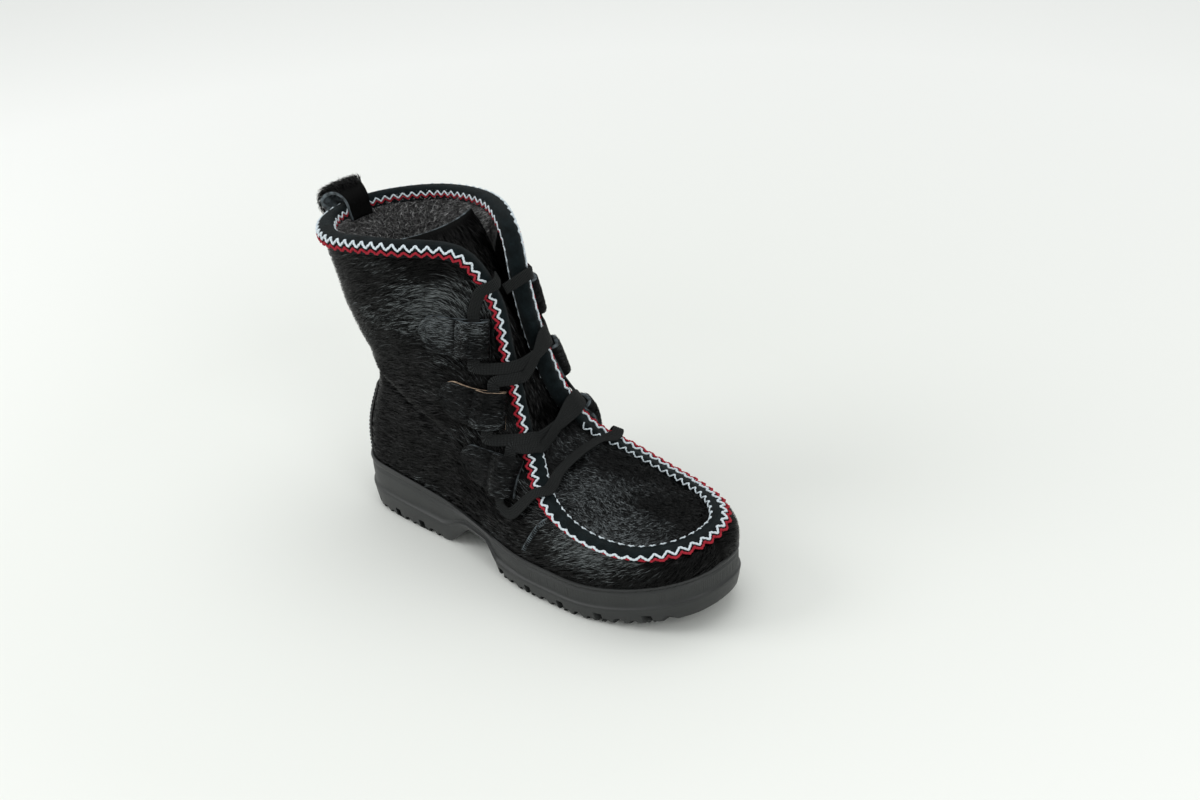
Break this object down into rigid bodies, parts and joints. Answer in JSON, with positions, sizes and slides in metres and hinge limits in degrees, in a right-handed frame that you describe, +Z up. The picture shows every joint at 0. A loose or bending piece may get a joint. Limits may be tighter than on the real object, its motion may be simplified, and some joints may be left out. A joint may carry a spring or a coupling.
{
  "type": "mukluk boot",
  "caption": "Ankle-high fur mukluk for the right foot: lugged rubber sole, moccasin toe, felt-bound collar and throat, tongue, and a flat lace through fur loops.",
  "frame": {"origin": "on the floor, in the middle of the heel's tread", "axes": "+X from heel to toe, +Y towards the inner side of the right foot, +Z up"},
  "size_m": [0.3088, 0.1058, 0.215],
  "materials": {
    "rubber": "satin",
    "fur": "satin",
    "felt": "matte",
    "leather": "satin",
    "webbing": "matte",
    "shearling": "matte"
  },
  "bodies": {
    "root": {"outsole": "rubber", "insole": "shearling", "upper": "fur", "tongue": "fur", "collar_trim": "felt", "toe_trim": "felt", "backstay": "leather", "pull_loop": "fur", "lace": "webbing", "lace_loop_outer_top": "fur", "lace_loop_outer_middle": "fur", "lace_loop_outer_bottom": "fur", "lace_loop_inner_top": "fur", "lace_loop_inner_middle": "fur", "lace_loop_inner_bottom": "fur"}
  },
  "joints": []
}
